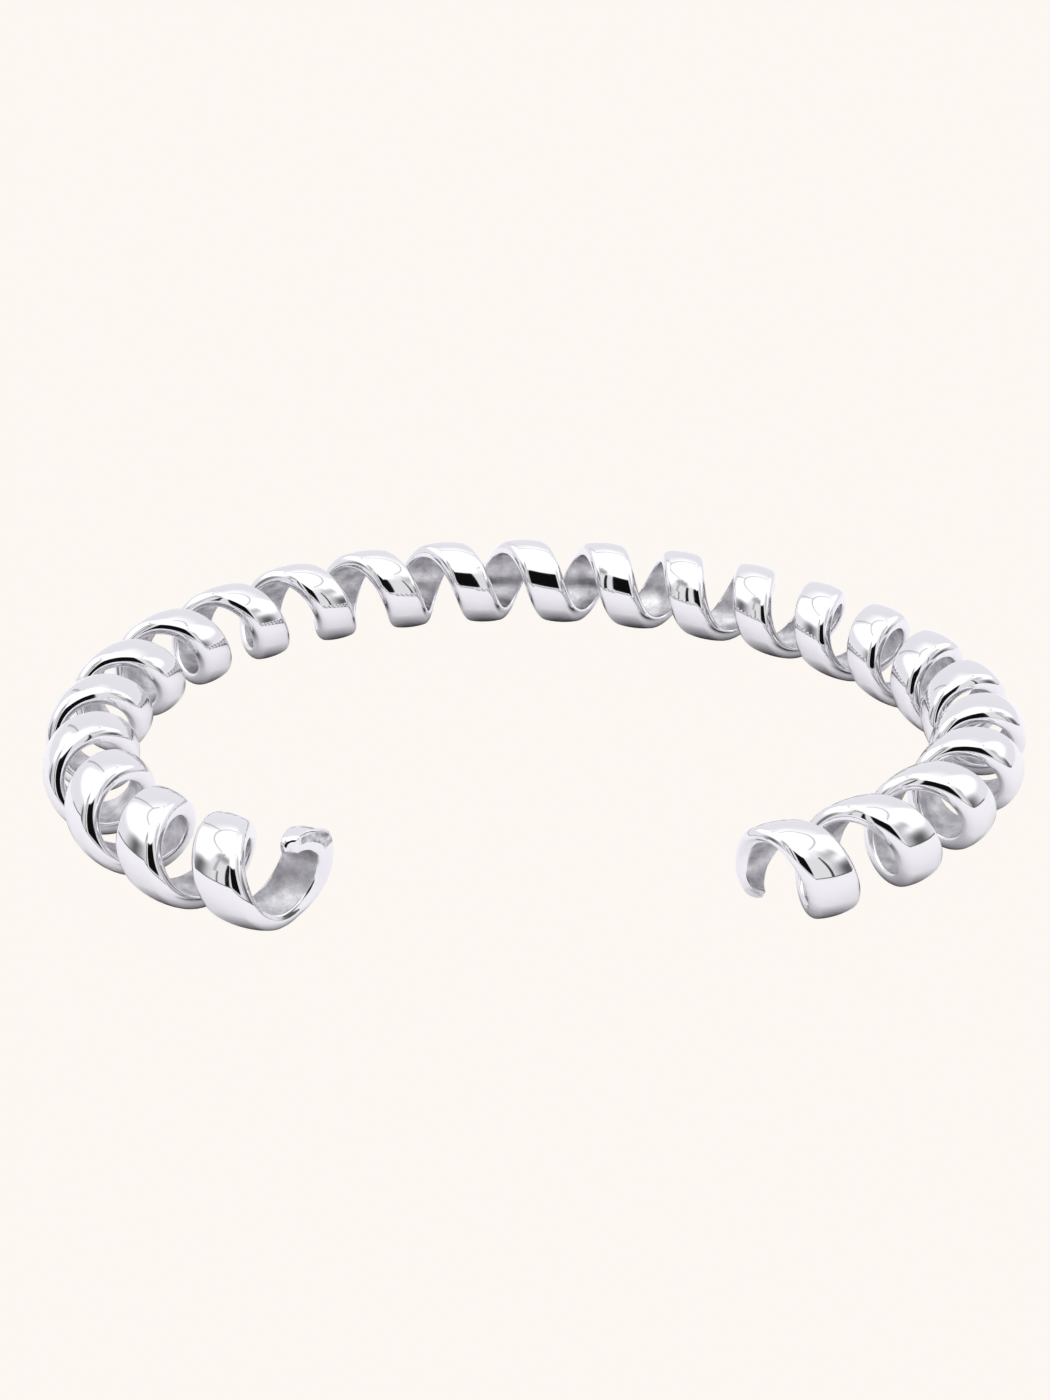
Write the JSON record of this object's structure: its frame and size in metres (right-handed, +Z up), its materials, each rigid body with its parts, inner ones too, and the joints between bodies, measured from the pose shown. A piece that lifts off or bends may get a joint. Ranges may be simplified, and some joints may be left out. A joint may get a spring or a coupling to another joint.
{
  "type": "spiral bangle",
  "caption": "Open oval cuff bangle made of one rounded metal ribbon wound as an open coil, polished outside and matt inside; worn on the wrist.",
  "frame": {"origin": "on the surface that the bangle lies on, under the middle of the cuff: bottom centre of its bounding box", "axes": "+X along the cuff's long axis, -Y out through the gap, +Z up, along the way through which a wrist goes"},
  "size_m": [0.0696, 0.0592, 0.007],
  "materials": {
    "polished_silver": "sterling silver, mirror polished on the outer face and edges, left matt as cast on the face towards the inside of the coil"
  },
  "bodies": {
    "root": {"spiral_band": "polished_silver"}
  },
  "joints": []
}
